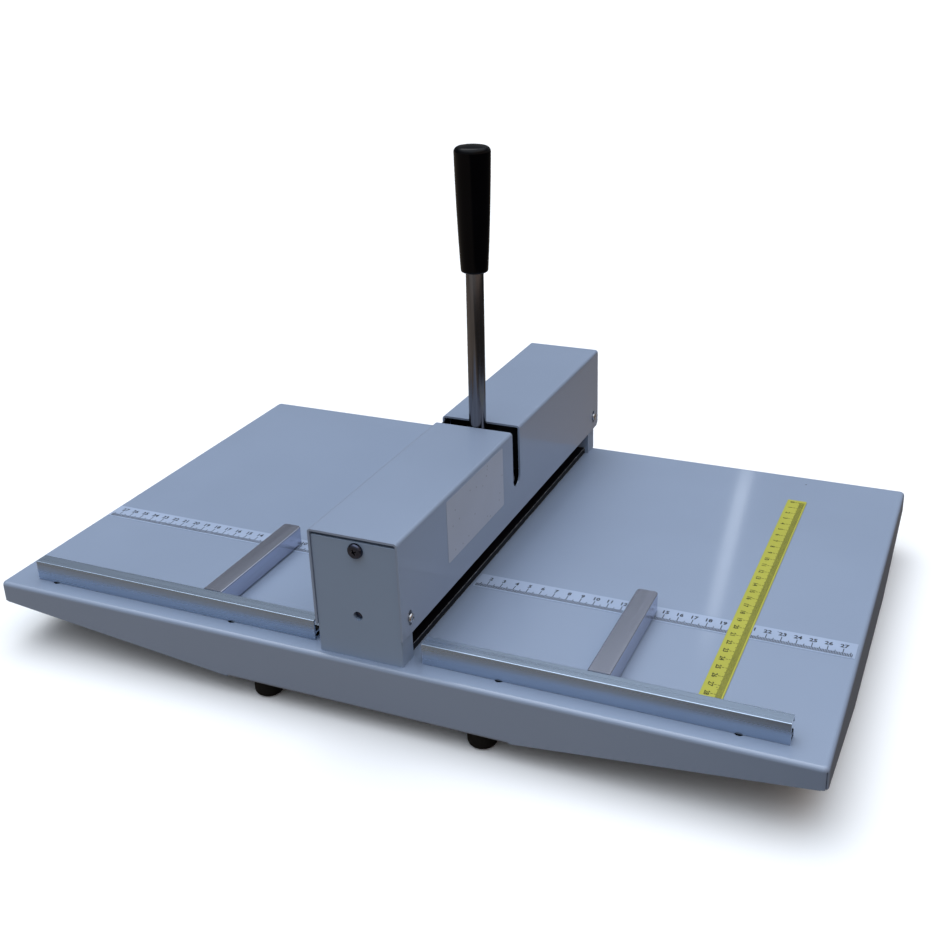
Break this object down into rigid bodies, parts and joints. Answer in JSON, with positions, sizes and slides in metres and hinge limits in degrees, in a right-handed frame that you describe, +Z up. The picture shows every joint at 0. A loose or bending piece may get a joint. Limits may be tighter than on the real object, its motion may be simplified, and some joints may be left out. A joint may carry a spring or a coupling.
{
  "type": "desktop paper creasing machine",
  "caption": "Desktop creasing machine for paper: a lever-driven cam beam presses a long blade into a grooved die above a low steel table with sliding stops and scales.",
  "frame": {"origin": "on the floor plane under the middle of the bounding box", "axes": "+X across the table to the operator's right, +Y along the housing from the front edge to the back, +Z up"},
  "size_m": [0.6, 0.387, 0.35],
  "materials": {
    "enamel": "glossy",
    "plate_enamel": "satin",
    "dark_steel": "satin",
    "bright_steel": "satin",
    "tool_steel": "ground",
    "aluminium": "satin",
    "bronze": "satin",
    "rubber": "matte",
    "black_plastic": "glossy",
    "nylon": "matte",
    "white_tape": "satin",
    "yellow_tape": "satin"
  },
  "bodies": {
    "frame": {"table_tray": "enamel", "bed_bar": "dark_steel", "foot_front_left": "rubber", "foot_front_right": "rubber", "foot_rear_left": "rubber", "foot_rear_right": "rubber", "foot_screws": "bright_steel", "foot_nuts": "bright_steel", "end_plate_front": "plate_enamel", "end_plate_rear": "plate_enamel", "end_plate_screws": "bright_steel", "die_screws": "bright_steel", "lower_die": "dark_steel", "crease_matrix": "tool_steel", "guide_pin_front": "bright_steel", "guide_pin_rear": "bright_steel", "return_spring_front": "bright_steel", "return_spring_rear": "bright_steel", "bearing_bush_front": "bronze", "bearing_bush_rear": "bronze", "housing_cover": "enamel", "cover_screws": "bright_steel", "cover_block_front": "dark_steel", "cover_block_rear": "dark_steel", "cover_block_screws": "bright_steel", "rail_left": "aluminium", "rail_right": "aluminium", "rail_screws": "bright_steel", "rail_nuts": "bright_steel", "scale_left": "white_tape", "scale_right": "white_tape", "length_rule": "yellow_tape"},
    "lever": {"camshaft": "bright_steel", "cam_1": "tool_steel", "cam_2": "tool_steel", "cam_3": "tool_steel", "cam_4": "tool_steel", "shaft_set_screws": "bright_steel", "lever_hub": "bright_steel", "lever_rod": "bright_steel", "lever_grip": "black_plastic"},
    "press": {"press_beam": "dark_steel", "creasing_blade": "tool_steel", "blade_screws": "bright_steel", "cam_pad_1": "tool_steel", "cam_pad_2": "tool_steel", "cam_pad_3": "tool_steel", "cam_pad_4": "tool_steel"},
    "left_stop": {"stop_bar_left": "aluminium", "stop_slider_left": "nylon", "stop_screw_left": "bright_steel"},
    "right_stop": {"stop_bar_right": "aluminium", "stop_slider_right": "nylon", "stop_screw_right": "bright_steel"}
  },
  "joints": [
    {"name": "lever_swing", "type": "hinge", "parent": "frame", "child": "lever", "pos_m": [0, 0.00375, 0.082], "axis": [0, 1, 0], "range_deg": [0, 55], "stiffness_Nm_per_rad": 1.2},
    {"name": "press_stroke", "type": "slide", "parent": "frame", "child": "press", "axis": [0, 0, 1], "range_m": [-0.00355, 0], "deforming": ["return_spring_front", "return_spring_rear"]},
    {"name": "left_stop_slide", "type": "slide", "parent": "frame", "child": "left_stop", "axis": [1, 0, 0], "range_m": [-0.1379, 0.0776]},
    {"name": "right_stop_slide", "type": "slide", "parent": "frame", "child": "right_stop", "axis": [1, 0, 0], "range_m": [-0.106, 0.1095]}
  ],
  "couplings": [
    {"joint": "press_stroke", "follows": "lever_swing", "m_per_rad": -0.0036461}
  ]
}
